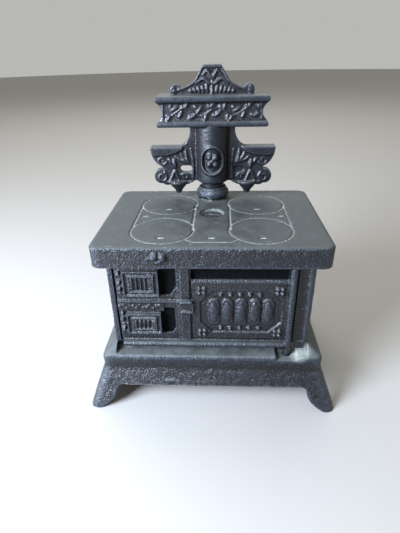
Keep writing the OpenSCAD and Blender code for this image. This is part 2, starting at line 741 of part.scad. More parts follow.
module stovepipe() {
    color("dimgray") difference() {
        union() {
            difference() {
                translate([0, pipe_y, 0]) {
                    translate([0, 0, under_top_z + 0.2]) cylinder(d = tenon_d, h = top_t + 1);
                    translate([0, 0, top_z + 0.1]) cylinder(d = neck_d, h = pipe_lift + 1);
                    translate([0, 0, pipe_foot_z]) cylinder(d1 = pipe_d - 1.6, d2 = pipe_d, h = 0.8);
                    translate([0, 0, pipe_foot_z + 0.8]) cylinder(d = pipe_d, h = pipe_h);
                }
                medallion_field();
            }
            brackets();
            warming_shelf();
            translate([0, 0, shelf_top_z]) upright(crest_front_y, crest_t) union() {
                crest_half();
                mirror([1, 0]) crest_half();
            }
            medallion();
            rosette();
        }
        translate([0, pipe_y, under_top_z - 1])
            cylinder(d = pipe_screw_d + 0.1, h = pipe_screw_reach + 1.6);
    }
}

// ---- Fasteners ----

module tie_screw() {
    head_z = top_z - tie_hollow_t;
    color("darkgray") translate([0, tie_y, 0]) difference() {
        union() {
            translate([0, 0, head_z - tie_head_t]) cylinder(d1 = tie_d, d2 = tie_head_d, h = tie_head_t);
            translate([0, 0, tie_foot_z + 0.6]) cylinder(d = tie_d, h = head_z - tie_head_t - tie_foot_z);
            translate([0, 0, tie_foot_z]) cylinder(d1 = tie_d - 1.2, d2 = tie_d, h = 0.6);
        }
        rotate([0, 0, -12]) translate([-tie_head_d, -0.65, head_z - 1.1]) cube([2 * tie_head_d, 1.3, 3]);
    }
}

module tie_nut() {
    color("darkgray") translate([0, tie_y, plate_under_z - nut_t]) difference() {
        translate([-nut_w / 2, -nut_w / 2, 0]) cube([nut_w, nut_w, nut_t]);
        translate([0, 0, -1]) cylinder(d = tie_d + 0.1, h = nut_t + 2);
    }
}

module pipe_screw() {
    color("darkgray") translate([0, pipe_y, under_top_z]) difference() {
        union() {
            translate([0, 0, -pipe_screw_head_t]) cylinder(d = pipe_screw_head_d, h = pipe_screw_head_t);
            cylinder(d = pipe_screw_d, h = pipe_screw_reach);
        }
        translate([-pipe_screw_head_d, -0.6, -pipe_screw_head_t - 1]) cube([2 * pipe_screw_head_d, 1.2, 2]);
    }
}

base();
left_side_wall();
right_side_wall();
back_wall();
front_door();
cooktop();
stovepipe();
tie_screw();
tie_nut();
pipe_screw();
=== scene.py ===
from math import cos, pi, radians, sin

import bmesh
import bpy
import numpy as np
from mathutils import Matrix, Vector, noise


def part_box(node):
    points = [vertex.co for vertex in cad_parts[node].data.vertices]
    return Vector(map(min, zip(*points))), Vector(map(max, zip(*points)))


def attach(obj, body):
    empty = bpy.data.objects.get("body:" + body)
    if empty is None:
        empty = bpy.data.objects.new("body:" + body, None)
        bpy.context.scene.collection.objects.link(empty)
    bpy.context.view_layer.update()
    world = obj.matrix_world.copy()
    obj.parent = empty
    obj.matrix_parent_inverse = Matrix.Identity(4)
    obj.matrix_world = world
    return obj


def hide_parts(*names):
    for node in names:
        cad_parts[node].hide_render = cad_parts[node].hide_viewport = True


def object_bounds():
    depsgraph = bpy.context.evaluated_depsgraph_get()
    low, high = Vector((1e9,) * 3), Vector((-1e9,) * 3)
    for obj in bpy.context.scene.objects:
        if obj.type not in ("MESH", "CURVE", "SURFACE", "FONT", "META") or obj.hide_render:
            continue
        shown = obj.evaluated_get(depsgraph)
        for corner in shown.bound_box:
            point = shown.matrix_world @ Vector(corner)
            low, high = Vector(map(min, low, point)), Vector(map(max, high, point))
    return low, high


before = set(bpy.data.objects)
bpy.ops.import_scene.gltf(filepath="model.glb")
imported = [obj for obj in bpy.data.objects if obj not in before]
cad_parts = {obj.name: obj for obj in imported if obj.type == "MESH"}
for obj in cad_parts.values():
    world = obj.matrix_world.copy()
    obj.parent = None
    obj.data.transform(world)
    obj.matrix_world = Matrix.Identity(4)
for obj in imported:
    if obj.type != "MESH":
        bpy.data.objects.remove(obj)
cad_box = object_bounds()


# ---- Base ----
# One grey-iron casting: four splayed legs, a rolled band and a shallow step under the door.
# It is sand cast and black japanned, and its outside keeps the print of the moulding sand.

MM = 0.001
BASE_VOXEL = 0.5
BASE_PEBBLE = 1.25
JAPAN = "#0e1116"
# lighter japan painted on ridges: partly rubbed wear, partly a painted highlight
JAPAN_WORN_HIGHLIT = "#333b45"
# near black painted into hollows and into the door's sunk fields as shade
PAINTED_SHADE_BLACK = "#040506"
SHELF_DUST = "#5a5e5b"
POCKET_DUST = "#a9ada3"


def merged_copy(node):
    """A bmesh of a CAD node with its loose triangles joined up."""
    bm = bmesh.new()
    bm.from_mesh(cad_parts[node].data)
    bmesh.ops.remove_doubles(bm, verts=bm.verts, dist=0.001 * MM)
    return bm


def add_lumps(bm, lumps):
    """Adds rounded lumps of cast ornament, each a centre, half sizes in mm and a turn about Y."""
    extra = bmesh.new()
    for at, half, turn in lumps:
        place = (
            Matrix.Translation(Vector(at) * MM)
            @ Matrix.Rotation(radians(turn), 4, "Y")
            @ Matrix.Diagonal((half[0] * MM, half[1] * MM, half[2] * MM, 1))
        )
        bmesh.ops.create_icosphere(extra, subdivisions=2 if len(lumps) < 3 else 1, radius=1, matrix=place)
    mesh = bpy.data.meshes.new("lumps")
    extra.to_mesh(mesh)
    extra.free()
    bm.from_mesh(mesh)
    bpy.data.meshes.remove(mesh)


def lump(bm, at, half, turn=0.0):
    """Adds one rounded lump."""
    add_lumps(bm, [(at, half, turn)])


def mesh_object(name, bm):
    """Writes a bmesh into a new object in the scene."""
    mesh = bpy.data.meshes.new(name)
    bm.to_mesh(mesh)
    bm.free()
    obj = bpy.data.objects.new(name, mesh)
    bpy.context.scene.collection.objects.link(obj)
    return obj


def settle(obj):
    """Fixes an object's modifiers into its mesh."""
    bpy.context.view_layer.update()
    ready = obj.evaluated_get(bpy.context.evaluated_depsgraph_get())
    mesh = bpy.data.meshes.new_from_object(ready)
    obj.modifiers.clear()
    old = obj.data
    obj.data = mesh
    bpy.data.meshes.remove(old)
    mesh.name = obj.name


def mesh_arrays(mesh):
    """The corners of a mesh and the way each faces, as arrays."""
    count = len(mesh.vertices)
    co = np.empty(count * 3, np.float32)
    mesh.vertices.foreach_get("co", co)
    facing = np.empty(count * 3, np.float32)
    mesh.vertex_normals.foreach_get("vector", facing)
    return co.reshape(-1, 3), facing.reshape(-1, 3)


def sand_print(mesh, size, depth, level):
    """Presses the print of the moulding sand into a casting; level is its strength on level faces."""
    co, facing = mesh_arrays(mesh)
    scale = 1 / (size * MM)
    height = np.array([noise.noise(Vector(p) * scale) for p in co])
    part = 1 + (level - 1) * np.clip(np.abs(facing[:, 2]) * 1.6 - 0.6, 0, 1)
    co += facing * ((np.clip(height * 1.4, -1, 1) - 1) * 0.5 * depth * MM * part)[:, None]
    co = np.clip(co, np.array(cad_box[0]), np.array(cad_box[1]))
    mesh.vertices.foreach_set("co", co.astype(np.float32).ravel())
    mesh.update()


def mark_relief(mesh, full):
    """Records how proud each point stands of its surroundings: 1 on a ridge, 0 in a hollow."""
    co, facing = mesh_arrays(mesh)
    count = len(co)
    ends = np.empty(len(mesh.edges) * 2, np.int32)
    mesh.edges.foreach_get("vertices", ends)
    a, b = ends.reshape(-1, 2).T
    reach = np.maximum(np.bincount(a, minlength=count) + np.bincount(b, minlength=count), 1)
    soft = co.astype(float)
    for _ in range(12):
        soft = np.stack(
            [
                (np.bincount(a, soft[b, k], count) + np.bincount(b, soft[a, k], count)) / reach
                for k in range(3)
            ],
            1,
        )
    proud = ((co - soft) * facing).sum(1)
    value = np.clip(0.5 + 0.5 * proud / (full * MM), 0, 1)
    layer = mesh.attributes.new("relief", "FLOAT", "POINT")
    layer.data.foreach_set("value", value.astype(np.float32))


def cast(
    name, bm, voxel, pebble, lump_depth=0.14, pebble_depth=0.13, level=0.6, rounds=2, most=190000, full=0.16
):
    """Runs one skin over a pattern, as molten iron does, and gives it its sand print."""
    obj = mesh_object(name, bm)
    skin = obj.modifiers.new("skin", "REMESH")
    skin.mode = "VOXEL"
    skin.voxel_size = voxel * MM
    skin.adaptivity = 0
    ease = obj.modifiers.new("ease", "SMOOTH")
    ease.factor = 0.5
    ease.iterations = rounds
    settle(obj)
    sand_print(obj.data, 2.8, lump_depth, level)
    sand_print(obj.data, pebble, pebble_depth, level)
    faces = sum(len(p.vertices) - 2 for p in obj.data.polygons)
    if faces > most:
        thin = obj.modifiers.new("thin", "DECIMATE")
        thin.ratio = most / faces
        settle(obj)
    mark_relief(obj.data, full)
    obj.data.shade_smooth()
    return obj


def linear(shade):
    """A linear colour from an sRGB hex value."""
    parts = [int(shade[i : i + 2], 16) / 255 for i in (1, 3, 5)]
    return (*[c / 12.92 if c <= 0.04045 else ((c + 0.055) / 1.055) ** 2.4 for c in parts], 1)


def add_node(mat, kind, settings, links):
    """Adds one node to a material: settings are sockets or properties, links are socket: output."""
    node = mat.node_tree.nodes.new(kind)
    own = {k: v for k, v in settings.items() if isinstance(k, str) and k in node.bl_rna.properties}
    for key, value in own.items():
        setattr(node, key, value)
    for key in settings.keys() - own.keys():
        node.inputs[key].default_value = settings[key]
    for key, output in links.items():
        mat.node_tree.links.new(output, node.inputs[key])
    return node


def japanned_iron(name, dust_shade, dust_most, gloss=0.30, bite=0.9, pale=None):
    """Black japan brushed over sand-cast iron: a thin, glossy skin that follows every grain.
    Ridges are painted lighter, partly as rubbed wear and partly as a painted highlight; hollows are painted
    near black as shade; and dust lies on what faces up.
    bite is the strength of its grain; pale gives a mask and the colour laid over it: packed dust in grooves,
    and painted shade in the door's sunk fields."""
    mat = bpy.data.materials.new(name)
    mat.use_nodes = True
    mat.node_tree.nodes.clear()
    place = add_node(mat, "ShaderNodeTexCoord", {}, {}).outputs["Object"]
    facing = add_node(mat, "ShaderNodeNewGeometry", {}, {}).outputs["Normal"]
    up = add_node(mat, "ShaderNodeSeparateXYZ", {}, {0: facing}).outputs["Z"]
    relief = add_node(mat, "ShaderNodeAttribute", {"attribute_name": "relief"}, {}).outputs["Fac"]
    # sand grains of 0.6 mm, and rounder grit of 0.7 mm between them
    grain = add_node(
        mat, "ShaderNodeTexNoise",
        {"Scale": 1 / (0.6 * MM), "Detail": 3.0, "Roughness": 0.6},
        {"Vector": place},
    ).outputs["Fac"]
    grit = add_node(
        mat, "ShaderNodeTexVoronoi", {"Scale": 1 / (0.7 * MM), "Randomness": 1.0}, {"Vector": place}
    )
    speck = add_node(mat, "ShaderNodeSeparateXYZ", {}, {0: grit.outputs["Color"]}).outputs["X"]
    grit = grit.outputs["Distance"]
    # brushed japan thickens and thins over about 6 mm
    cloud = add_node(
        mat, "ShaderNodeTexNoise",
        {"Scale": 1 / (6 * MM), "Detail": 4.0, "Roughness": 0.55},
        {"Vector": place},
    ).outputs["Fac"]
    # ridges are painted lighter: partly rubbed wear, partly a painted highlight
    ridge = add_node(
        mat, "ShaderNodeMapRange",
        {"From Min": 0.56, "From Max": 0.9, "To Min": 0.0, "To Max": 0.75},
        {0: relief},
    ).outputs[0]
    # hollows are painted near black as shade
    hollow_shade = add_node(
        mat, "ShaderNodeMapRange",
        {"From Min": 0.46, "From Max": 0.2, "To Min": 0.0, "To Max": 0.9},
        {0: relief},
    ).outputs[0]
    rubbed_and_highlit = add_node(
        mat, "ShaderNodeMath", {"operation": "MULTIPLY", "use_clamp": True}, {0: ridge, 1: grain}
    ).outputs[0]
    tone = add_node(
        mat,
        "ShaderNodeMix",
        {"data_type": "RGBA", 6: linear(JAPAN), 7: linear(JAPAN_WORN_HIGHLIT)},
        {0: rubbed_and_highlit},
    ).outputs[2]
    tone = add_node(
        mat, "ShaderNodeMix",
        {"data_type": "RGBA", 7: linear(PAINTED_SHADE_BLACK)},
        {0: hollow_shade, 6: tone},
    ).outputs[2]
    # dust lies on level ledges, thicker in patches
    ledge = add_node(
        mat, "ShaderNodeMapRange",
        {"From Min": 0.35, "From Max": 0.95, "To Min": 0.0, "To Max": dust_most},
        {0: up},
    ).outputs[0]
    patch = add_node(
        mat, "ShaderNodeMapRange",
        {"From Min": 0.3, "From Max": 0.7, "To Min": 0.55, "To Max": 1.1},
        {0: cloud},
    ).outputs[0]
    dust = add_node(
        mat, "ShaderNodeMath", {"operation": "MULTIPLY", "use_clamp": True}, {0: ledge, 1: patch}
    ).outputs[0]
    tone = add_node(
        mat, "ShaderNodeMix",
        {"data_type": "RGBA", 7: linear(dust_shade)},
        {0: dust, 6: tone},
    ).outputs[2]
    if pale:
        mask = pale[0](mat, place, grain)
        # packed dust, and the painted shade in the door's sunk fields, get hardly any shine
        shine = add_node(
            mat, "ShaderNodeMapRange",
            {"From Min": 0.0, "From Max": 1.0, "To Min": 0.5, "To Max": 0.06},
            {0: mask},
        ).outputs[0]
        tone = add_node(
            mat, "ShaderNodeMix",
            {"data_type": "RGBA", 7: linear(pale[1])},
            {0: mask, 6: tone},
        ).outputs[2]
        # on the door this mask is painted shade, and it is made as rough as dust
        dust = add_node(mat, "ShaderNodeMath", {"operation": "MAXIMUM"}, {0: dust, 1: mask}).outputs[0]
    sheen = add_node(
        mat, "ShaderNodeMapRange",
        {"From Min": 0.3, "From Max": 0.7, "To Min": gloss - 0.07, "To Max": gloss + 0.08},
        {0: cloud},
    ).outputs[0]
    # a few grains are burnished and glint
    glint = add_node(
        mat, "ShaderNodeMapRange",
        {"From Min": 0.7, "From Max": 1.0, "To Min": 0.0, "To Max": -0.16},
        {0: speck},
    ).outputs[0]
    sheen = add_node(mat, "ShaderNodeMath", {"operation": "ADD"}, {0: sheen, 1: glint}).outputs[0]
    rough = add_node(
        mat, "ShaderNodeMix", {"data_type": "FLOAT", 3: 0.82}, {0: dust, 2: sheen}
    ).outputs[0]
    height = add_node(mat, "ShaderNodeMath", {"operation": "SUBTRACT"}, {0: grain, 1: grit}).outputs[0]
    # handled, level faces are worn smoother than the sides
    depth = add_node(
        mat, "ShaderNodeMapRange",
        {"From Min": 0.6, "From Max": 0.95, "To Min": bite, "To Max": bite * 0.3},
        {0: up},
    ).outputs[0]
    bump = add_node(
        mat, "ShaderNodeBump", {"Distance": 0.28 * MM}, {"Strength": depth, "Height": height}
    ).outputs[0]
    shader = add_node(
        mat, "ShaderNodeBsdfPrincipled", {"IOR": 1.5},
        {"Base Color": tone, "Roughness": rough, "Normal": bump},
    )
    if pale:
        mat.node_tree.links.new(shine, shader.inputs["Specular IOR Level"])
    shader = shader.outputs[0]
    add_node(mat, "ShaderNodeOutputMaterial", {}, {"Surface": shader})
    return mat


def rod_pocket_dust(mat, place, grain):
    """Dust packed round the foot of the hinge rod."""
    away = add_node(
        mat, "ShaderNodeVectorMath",
        {"operation": "DISTANCE", 1: (40 * MM, -33.5 * MM, 27.5 * MM)},
        {0: place},
    ).outputs["Value"]
    near = add_node(
        mat, "ShaderNodeMapRange",
        {"From Min": 6 * MM, "From Max": 2 * MM, "To Min": 0.0, "To Max": 1.3},
        {0: away},
    ).outputs[0]
    return add_node(
        mat, "ShaderNodeMath",
        {"operation": "MULTIPLY", "use_clamp": True},
        {0: near, 1: grain},
    ).outputs[0]


base_pattern = merged_copy("base")
# a run of iron left on the lower edge of the skirt
lump(base_pattern, (-19, -39.4, 13.4), (3.0, 1.0, 0.9))
lump(base_pattern, (-15.5, -39.5, 13.0), (1.6, 0.8, 0.7))
base_casting = cast("base_casting", base_pattern, BASE_VOXEL, BASE_PEBBLE)
base_casting.data.materials.clear()
base_casting.data.materials.append(
    japanned_iron(
        "black japan brushed on the sand-cast base", SHELF_DUST, 0.75, pale=(rod_pocket_dust, POCKET_DUST)
    )
)
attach(base_casting, "body")
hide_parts("base")


# ---- Side walls and back wall ----
# Three plain plates cast flat in open sand; each stands on two tabs in the base's slots.
# Their backs and fronts are as coarse as the base, with the coin slot cored through the back one.

WALL_VOXEL = 0.42
wall_finish = japanned_iron("black japan brushed on cast wall plates", SHELF_DUST, 0.5)
for wall in ("left_side_wall", "right_side_wall", "back_wall"):
    plate = cast(wall + "_casting", merged_copy(wall), WALL_VOXEL, 1.1, level=1.0, most=90000)
    plate.data.materials.clear()
    plate.data.materials.append(wall_finish)
    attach(plate, "body")
    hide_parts(wall)


# ---- Front door ----
# One casting with the fire doors, the ash rail, the oven door and the hinge rod in low relief.
# Its ridges are painted lighter, partly as rubbed wear and partly as a painted highlight, and the deep fields
# beside the small doors are painted dark as shade.

DOOR_VOXEL = 0.28
DOOR_FACE = -31.2


def smooth_path(points, step):
    """Points a step apart along a smooth curve through the given points, all in mm."""
    pts = [Vector(p) for p in points]
    pts = [pts[0] * 2 - pts[1], *pts, pts[-1] * 2 - pts[-2]]
    path = []
    for a, b, c, d in zip(pts, pts[1:], pts[2:], pts[3:]):
        count = max(1, round((c - b).length / step))
        for i in range(count):
            t = i / count
            path.append(
                0.5
                * (2 * b + (c - a) * t + (2 * a - 5 * b + 4 * c - d) * t * t + (3 * b - a - 3 * c + d) * t**3)
            )
    return path + [pts[-2]]


def vein(bm, points, thick, thin=None, rise=1.0):
    """A raised vein of ornament along a curve, from thick to thin, standing rise times as proud."""
    thin = thick if thin is None else thin
    path = smooth_path(points, max(min(thick, thin), 0.3) * 0.7)
    lumps = []
    for i, p in enumerate(path):
        r = thick + (thin - thick) * i / max(len(path) - 1, 1)
        lumps.append((p, (r, r * rise, r), 0.0))
    for i in range(0, len(lumps), 24):
        add_lumps(bm, lumps[i : i + 24])


def curl(bm, centre, y, radius, start, turns, thick, thin):
    """A spiral scroll in an upright plane, wound inwards from its start angle."""
    points = []
    count = max(4, round(abs(turns) * 8))
    for i in range(count + 1):
        t = i / count
        angle = radians(start) + 2 * pi * turns * t
        r = radius * (1 - 0.72 * t)
        points.append((centre[0] + r * cos(angle), y, centre[1] + r * sin(angle)))
    vein(bm, points, thick, thin)


door_pattern = merged_copy("front_door")
# leafy knobs up the hinge side of the small doors
for low in (37.4, 57.6):
    for i in range(3):
        z = low + i * 4.3 + 0.5 * sin(i * 2.7 + low)
        lump(door_pattern, (-40.0, DOOR_FACE - 0.5, z + 0.6), (0.9, 1.0, 1.6), 28 + 15 * sin(low * i))
        lump(door_pattern, (-38.9, DOOR_FACE - 0.5, z - 0.5), (0.8, 0.9, 1.2), -40)
# rough cast work on the rail between the small doors
for i in range(13):
    lump(
        door_pattern,
        (-40.6 + i * 1.5, DOOR_FACE - 0.5, 50.2 + 1.0 * sin(i * 2.3)),
        (0.8 + 0.25 * sin(i * 1.7), 0.6, 0.7),
        40 * cos(i),
    )
# barrel of the catch on the upright bar
vein(door_pattern, [(-12.9, -33.4, 53.4), (-8.6, -33.4, 53.4)], 0.9)
vein(door_pattern, [(-12.6, -33.4, 48.4), (-8.4, -33.4, 48.2)], 0.8)
# domed lobes across the oven panel
for i in range(5):
    lump(door_pattern, (13.2 + (i - 2) * 6.0, DOOR_FACE - 0.7, 47.5), (2.1, 0.9, 5.9))


def recess_painted_shade(mat, place, grain):
    """Painted shade in the sunk fields: from 0.3 mm below the door's face, full at 1 mm."""
    depth = add_node(mat, "ShaderNodeSeparateXYZ", {}, {0: place}).outputs["Y"]
    return add_node(
        mat, "ShaderNodeMapRange",
        {
            "From Min": (DOOR_FACE + 0.3) * MM, "From Max": (DOOR_FACE + 1.0) * MM,
            "To Min": 0.0, "To Max": 0.95,
        },
        {0: depth},
    ).outputs[0]


door_casting = cast(
    "front_door_casting", door_pattern, DOOR_VOXEL, 0.8, 0.10, 0.11, level=1.0, rounds=1, most=195000
)
door_casting.data.materials.clear()
door_casting.data.materials.append(
    japanned_iron(
        "black japan rubbed on the door casting", SHELF_DUST, 0.4, gloss=0.31, pale=(recess_painted_shade, PAINTED_SHADE_BLACK)
    )
)
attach(door_casting, "door")
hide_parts("front_door")


# ---- Cooktop ----
# The plate that closes the bank, cast with its burner rings and a turned collar for the pipe.
# Its top is dusty and dull from handling, and pale dust has filled the rings.

TOP_VOXEL = 0.36
TOP_FACE = 81.4
TOP_DUST = "#404441"
RING_DUST = "#a3a89d"


def ring_dust(mat, place, grain):
    """Dust packed into the grooves just below the top face."""
    axes = add_node(mat, "ShaderNodeSeparateXYZ", {}, {0: place})
    deep = add_node(
        mat, "ShaderNodeMapRange",
        {
            "From Min": (TOP_FACE - 0.25) * MM, "From Max": (TOP_FACE - 0.45) * MM,
            "To Min": 0.0, "To Max": 1.0,
        },
        {0: axes.outputs["Z"]},
    ).outputs[0]
    above = add_node(
        mat, "ShaderNodeMath", {"operation": "GREATER_THAN", 1: 80.4 * MM}, {0: axes.outputs["Z"]}
    ).outputs[0]
    wide = add_node(mat, "ShaderNodeMath", {"operation": "ABSOLUTE"}, {0: axes.outputs["X"]}).outputs[0]
    inside = add_node(mat, "ShaderNodeMath", {"operation": "LESS_THAN", 1: 44 * MM}, {0: wide}).outputs[0]
    fore = add_node(mat, "ShaderNodeMath", {"operation": "ABSOLUTE"}, {0: axes.outputs["Y"]}).outputs[0]
    short = add_node(mat, "ShaderNodeMath", {"operation": "LESS_THAN", 1: 33 * MM}, {0: fore}).outputs[0]
    part = add_node(mat, "ShaderNodeMath", {"operation": "MULTIPLY"}, {0: deep, 1: above}).outputs[0]
    part = add_node(mat, "ShaderNodeMath", {"operation": "MULTIPLY"}, {0: part, 1: inside}).outputs[0]
    part = add_node(mat, "ShaderNodeMath", {"operation": "MULTIPLY"}, {0: part, 1: short}).outputs[0]
    clear = add_node(
        mat, "ShaderNodeVectorMath", {"operation": "DISTANCE", 1: (0, 2 * MM, 81 * MM)}, {0: place}
    ).outputs["Value"]
    clear = add_node(
        mat, "ShaderNodeMapRange",
        {"From Min": 6.3 * MM, "From Max": 7 * MM, "To Min": 0.4},
        {0: clear},
    ).outputs[0]
    part = add_node(mat, "ShaderNodeMath", {"operation": "MULTIPLY"}, {0: part, 1: clear}).outputs[0]
    worn = add_node(
        mat, "ShaderNodeMapRange",
        {"From Min": 0.35, "From Max": 0.62, "To Min": 0.15, "To Max": 0.95},
        {0: grain},
    ).outputs[0]
    part = add_node(
        mat, "ShaderNodeMath",
        {"operation": "MULTIPLY", "use_clamp": True},
        {0: part, 1: worn},
    ).outputs[0]
    # pale scuffs from things slid across the burners, about 0.5 mm wide and 3 mm long
    drawn = add_node(
        mat, "ShaderNodeMapping", {"Rotation": (0, 0, 0.35), "Scale": (0.2, 1.0, 0.0)}, {0: place}
    ).outputs[0]
    scuff = add_node(
        mat, "ShaderNodeTexNoise", {"Scale": 1 / (0.9 * MM), "Detail": 2.0}, {"Vector": drawn}
    ).outputs["Fac"]
    scuff = add_node(
        mat, "ShaderNodeMapRange",
        {"From Min": 0.66, "From Max": 0.76, "To Min": 0.0, "To Max": 0.45},
        {0: scuff},
    ).outputs[0]
    above = add_node(
        mat, "ShaderNodeMath", {"operation": "GREATER_THAN", 1: (TOP_FACE - 0.4) * MM}, {0: axes.outputs["Z"]}
    ).outputs[0]
    scuff = add_node(mat, "ShaderNodeMath", {"operation": "MULTIPLY"}, {0: scuff, 1: above}).outputs[0]
    scuff = add_node(mat, "ShaderNodeMath", {"operation": "MULTIPLY"}, {0: scuff, 1: inside}).outputs[0]
    return add_node(mat, "ShaderNodeMath", {"operation": "MAXIMUM"}, {0: part, 1: scuff}).outputs[0]


def round_rim(mesh):
    """Rounds the cooktop's upper edge as handling and a worn pattern leave it."""
    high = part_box("cooktop")[1]
    radius, corner = 1.6 * MM, 4.6 * MM
    co, _ = mesh_arrays(mesh)
    flat = co[:, :2].astype(float)
    inner = np.array([high[0] - corner, high[1] - corner])
    core = np.clip(flat, -inner, inner)
    out = flat - core
    reach = np.linalg.norm(out, axis=1)
    side = corner - reach
    deep = TOP_FACE * MM - co[:, 2]
    v = np.stack([radius - side, radius - deep], 1)
    length = np.linalg.norm(v, axis=1)
    near = (side < radius) & (deep < radius) & (deep > -0.2 * MM) & (length > radius) & (reach > 1e-6)
    v[near] *= (radius / length[near])[:, None]
    flat[near] = core[near] + out[near] / reach[near, None] * (corner - radius + v[near, :1])
    co[near, :2] = flat[near]
    co[near, 2] = TOP_FACE * MM - radius + v[near, 1]
    mesh.vertices.foreach_set("co", co.astype(np.float32).ravel())
    mesh.update()


top_pattern = merged_copy("cooktop")
# casting lumps on the left of the front edge
lump(top_pattern, (-22.8, -36.7, 77.4), (1.6, 1.5, 2.0), 35)
lump(top_pattern, (-19.2, -36.7, 77.0), (1.5, 1.5, 1.9), -40)
lump(top_pattern, (-21.2, -36.5, 75.1), (2.0, 1.2, 0.9))
lump(top_pattern, (-25.2, -36.3, 76.4), (0.9, 0.7, 0.7))
cooktop_casting = cast("cooktop_casting", top_pattern, TOP_VOXEL, 1.0, 0.16, 0.16, level=0.25, most=195000)
round_rim(cooktop_casting.data)
cooktop_casting.data.materials.clear()
cooktop_casting.data.materials.append(
    japanned_iron("japan worn dull on the cooktop", TOP_DUST, 0.9, gloss=0.36, pale=(ring_dust, RING_DUST))
)
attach(cooktop_casting, "body")
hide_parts("cooktop")


# ---- Stovepipe, tea brackets, warming shelf and crest ----
# One casting in two-part sand, its face crowded with leaves and scrolls in low relief.
# It carries the deepest japan of all, satin on the pipe and broken up over the ornament.

PIPE_VOXEL = 0.31
PIPE_Y = 24.5
PIPE_FOOT = 90.7
SHELF_FOOT = 117.8
SHELF_TOP = 131.7
CREST_FACE = 20.5
FRIEZE_FACE = 17.75
WEB_FACE = 22.2

pipe_pattern = merged_copy("stovepipe")
for side in (-1, 1):
    # crest: raised rim, gadroons along the foot and a leaf over them
    vein(
        pipe_pattern,
        [(side * 15.4, CREST_FACE, SHELF_TOP + 2.2), (side * 11.6, CREST_FACE, SHELF_TOP + 3.4),
         (side * 8.2, CREST_FACE, SHELF_TOP + 5.4), (side * 6.2, CREST_FACE, SHELF_TOP + 8.2),
         (side * 4.6, CREST_FACE, SHELF_TOP + 11.0)],
        0.6,
    )
    for i in range(5):
        lean = side * (8 + 7 * i)
        lump(
            pipe_pattern,
            (side * (2.3 + 1.85 * i), CREST_FACE - 0.1, SHELF_TOP + 2.5 - 0.22 * i),
            (0.62, 0.7, 1.9 - 0.24 * i), lean,
        )
    vein(
        pipe_pattern,
        [(side * 1.4, CREST_FACE - 0.2, SHELF_TOP + 4.9), (side * 4.2, CREST_FACE - 0.3, SHELF_TOP + 6.6),
         (side * 7.2, CREST_FACE - 0.2, SHELF_TOP + 4.9)],
        0.85, 0.4,
    )
    vein(
        pipe_pattern,
        [(side * 0.5, CREST_FACE - 0.2, SHELF_TOP + 7.2), (side * 2.2, CREST_FACE - 0.3, SHELF_TOP + 9.8),
         (side * 4.2, CREST_FACE - 0.1, SHELF_TOP + 8.4)],
        0.8, 0.35,
    )
    curl(pipe_pattern, (side * 17.3, SHELF_TOP + 1.9), CREST_FACE, 1.6, 90, -side * 1.2, 0.5, 0.35)
    lump(pipe_pattern, (side * 17.3, PIPE_Y - 2, SHELF_TOP + 1.9), (1.9, 2.6, 1.9))
vein(pipe_pattern, [(0, CREST_FACE, SHELF_TOP + 0.4), (0.2, CREST_FACE - 0.1, SHELF_TOP + 8.6)], 0.75, 0.5)
vein(pipe_pattern, [(-3.8, CREST_FACE, SHELF_TOP + 11.6), (3.8, CREST_FACE, SHELF_TOP + 11.6)], 0.7)

# frieze: a running vine with leaves, a thin bead line and plain end strips
vine_z = SHELF_FOOT + 6.9
vein(
    pipe_pattern,
    [(x, FRIEZE_FACE, vine_z + 1.7 * sin(x * 0.42 + 0.6)) for x in [-21 + 1.5 * i for i in range(29)]],
    0.5,
)
for i in range(15):
    x = -20.4 + 2.9 * i
    swing = 1 if i % 2 else -1
    lump(
        pipe_pattern,
        (x, FRIEZE_FACE - 0.1, vine_z + swing * 1.9 + 1.2 * sin(x * 0.42 + 0.6)),
        (0.8, 0.75, 2.0), 42 + 24 * sin(i * 1.9),
    )
    lump(
        pipe_pattern,
        (x + 1.4, FRIEZE_FACE, vine_z - swing * 2.1 + 0.4 * cos(i)),
        (0.65, 0.65, 1.3), -40 + 30 * cos(i * 2.1),
    )
vein(pipe_pattern, [(-23.6, FRIEZE_FACE, SHELF_FOOT + 3.4), (23.6, FRIEZE_FACE, SHELF_FOOT + 3.4)], 0.35)
for side in (-1, 1):
    vein(
        pipe_pattern,
        [(side * 23.0, FRIEZE_FACE, SHELF_FOOT + 3.4), (side * 22.7, FRIEZE_FACE, SHELF_FOOT + 10.2)],
        0.4,
    )

